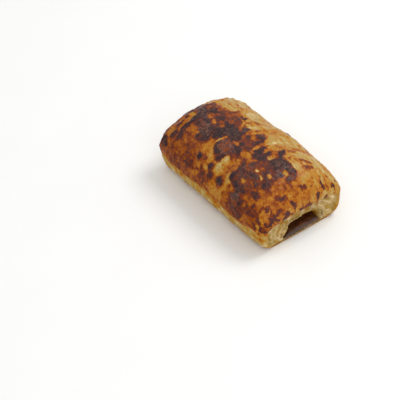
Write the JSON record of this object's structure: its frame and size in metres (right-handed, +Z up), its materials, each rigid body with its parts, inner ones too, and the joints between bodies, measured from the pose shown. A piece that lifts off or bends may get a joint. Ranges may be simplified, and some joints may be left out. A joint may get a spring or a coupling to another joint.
{
  "type": "pain au chocolat",
  "caption": "Rectangular roll of browned laminated pastry, crowned on top and flat below, open at both ends on a dark chocolate filling.",
  "frame": {"origin": "centre of the flat base, on the surface that the roll rests on", "axes": "+X along the roll towards the end with the longer slope, +Y towards its paler flank, +Z up"},
  "size_m": [0.118, 0.073, 0.045],
  "materials": {
    "crust": "satin",
    "chocolate": "satin"
  },
  "bodies": {
    "root": {"pastry": "crust", "chocolate_filling": "chocolate"}
  },
  "joints": []
}
